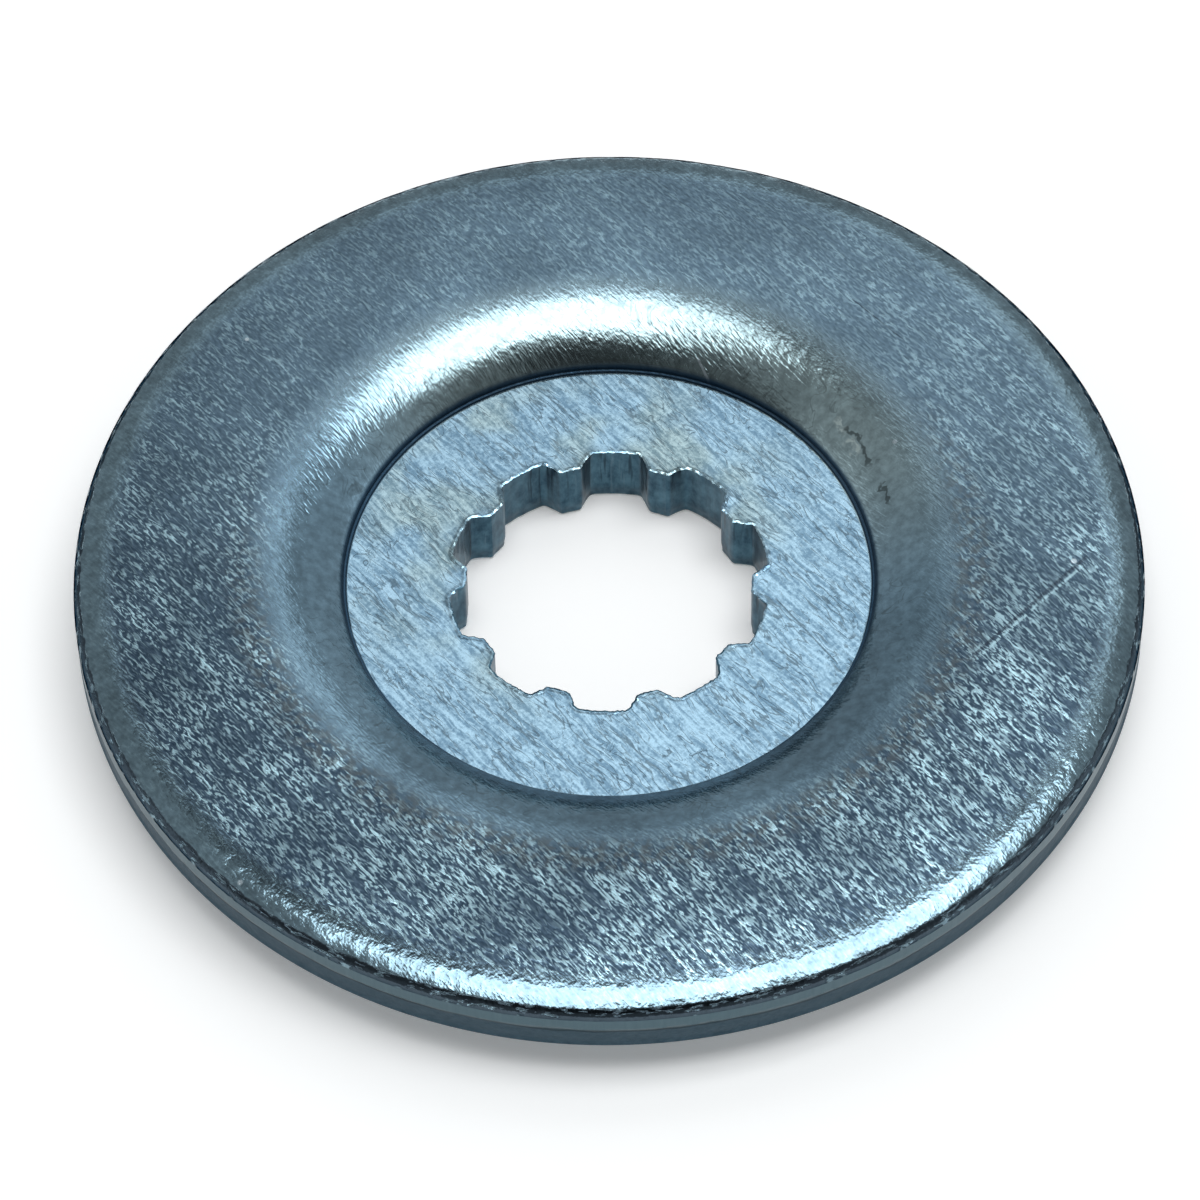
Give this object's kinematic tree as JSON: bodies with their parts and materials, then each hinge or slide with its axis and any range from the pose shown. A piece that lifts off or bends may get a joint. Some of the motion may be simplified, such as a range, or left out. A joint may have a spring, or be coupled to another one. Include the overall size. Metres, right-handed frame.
{
  "type": "splined dished washer",
  "caption": "Round pressed steel washer with a dished flat seat, a rolled rim edge and a splined hole, for clamping a round blade or wheel on a splined shaft.",
  "frame": {"origin": "centre of the boss's underside, on the washer's axis", "axes": "+Z along the washer's axis towards the dished side; +Y through the middle of a spline groove"},
  "size_m": [0.052, 0.052, 0.0057],
  "materials": {
    "zinc_steel": "blue-bright zinc plating over rolled steel plate, dull on the ring, burnished in the dish"
  },
  "bodies": {
    "root": {"washer": "zinc_steel"}
  },
  "joints": []
}
